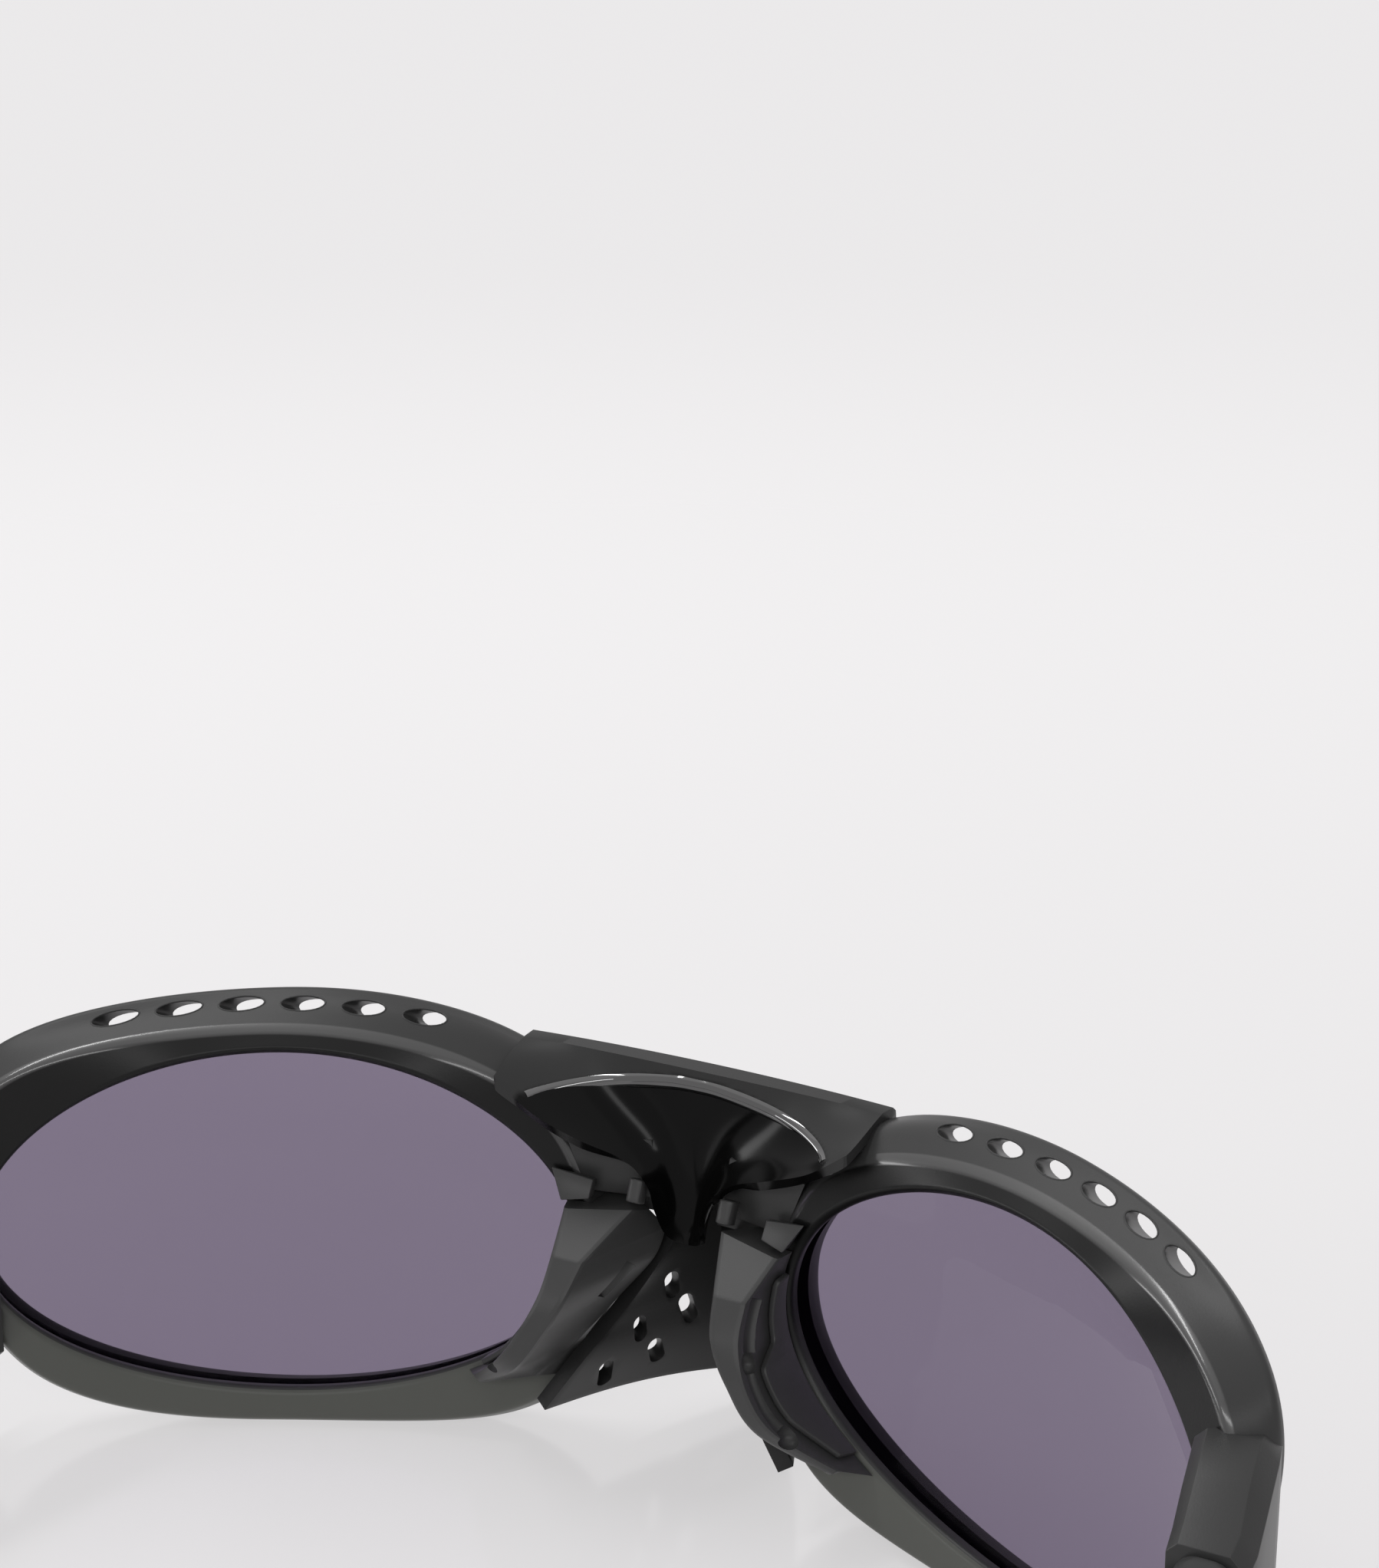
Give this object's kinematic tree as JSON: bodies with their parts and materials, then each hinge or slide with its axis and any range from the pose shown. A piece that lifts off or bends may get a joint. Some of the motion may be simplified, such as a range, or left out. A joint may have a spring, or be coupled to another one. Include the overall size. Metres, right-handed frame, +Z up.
{
  "type": "wraparound sunglasses",
  "caption": "Wraparound sunglasses with oval tinted lenses, vented brow rims, a perforated nose shield and folding arms.",
  "frame": {"origin": "middle of the bounding box at floor level, with the pair standing open on its rims and ear tips", "axes": "+X to the wearer's left, +Y from the front back to the ear tips, +Z up"},
  "size_m": [0.135, 0.1636, 0.0423],
  "materials": {
    "frame_plastic": "satin moulded dark grey",
    "gloss_plastic": "gloss black with satin edges",
    "shield_plastic": "satin black",
    "pad_plastic": "satin dark grey",
    "soft_rubber": "matte",
    "hinge_metal": "brushed",
    "screw_metal": "polished",
    "lens_tint": "tinted violet grey"
  },
  "bodies": {
    "front": {"front_frame": "frame_plastic", "lens_left": "lens_tint", "lens_right": "lens_tint", "bridge_cover": "gloss_plastic", "nose_shield": "shield_plastic", "nose_pad_left": "pad_plastic", "nose_pad_right": "pad_plastic", "pad_plate_left": "pad_plastic", "pad_plate_right": "pad_plastic", "pad_tab_left": "pad_plastic", "pad_tab_right": "pad_plastic", "pad_clip_left": "pad_plastic", "pad_clip_right": "pad_plastic", "front_leaf_left": "hinge_metal", "front_leaf_right": "hinge_metal", "leaf_screws_front": "screw_metal", "hinge_screw_left": "screw_metal", "hinge_screw_right": "screw_metal"},
    "left_temple": {"temple_leaf_left": "hinge_metal", "leaf_screws_left": "screw_metal", "temple_arm_left": "frame_plastic", "temple_liner_left": "soft_rubber", "temple_core_left": "hinge_metal", "ear_sock_left": "soft_rubber"},
    "right_temple": {"temple_leaf_right": "hinge_metal", "leaf_screws_right": "screw_metal", "temple_arm_right": "frame_plastic", "temple_liner_right": "soft_rubber", "temple_core_right": "hinge_metal", "ear_sock_right": "soft_rubber"}
  },
  "joints": [
    {"name": "left_temple_fold", "type": "hinge", "parent": "front", "child": "left_temple", "pos_m": [0.06082, -0.02537, 0.0196], "axis": [0, 0, 1], "range_deg": [0, 90]},
    {"name": "right_temple_fold", "type": "hinge", "parent": "front", "child": "right_temple", "pos_m": [-0.06082, -0.02537, 0.0196], "axis": [0, 0, -1], "range_deg": [0, 80]}
  ]
}
